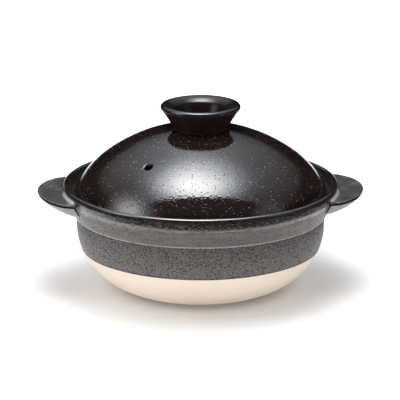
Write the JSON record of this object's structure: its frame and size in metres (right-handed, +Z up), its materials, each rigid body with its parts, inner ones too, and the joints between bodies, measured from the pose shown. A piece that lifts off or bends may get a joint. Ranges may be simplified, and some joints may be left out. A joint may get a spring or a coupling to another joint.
{
  "type": "clay cooking pot",
  "caption": "Round clay cooking pot with a flared rim, wing handles and a loose domed lid with a hollow knob and a steam vent; dark glaze above a bare clay heel.",
  "frame": {"origin": "middle of the flat base, on the surface that the pot stands on", "axes": "+Z up along the pot's axis, +X through the right handle, -Y towards the viewer"},
  "size_m": [0.299, 0.2522, 0.1722],
  "materials": {
    "clay": "bare fired clay, matte",
    "wall_glaze": "satin black-grey glaze with fine pits",
    "lid_glaze": "glossy brown-black glaze with sparse golden specks",
    "inner_glaze": "glossy dark brown glaze"
  },
  "bodies": {
    "pot": {"pot_body": "clay", "pot_outer_glaze": "wall_glaze", "pot_inner_glaze": "inner_glaze", "left_handle": "wall_glaze", "right_handle": "wall_glaze"},
    "lid": {"lid_dome": "clay", "lid_outer_glaze": "lid_glaze", "lid_inner_glaze": "inner_glaze", "lid_knob": "lid_glaze"}
  },
  "joints": [
    {"name": "lid_lift", "type": "slide", "parent": "pot", "child": "lid", "axis": [0, 0, 1], "range_m": [0, 0.15]}
  ]
}
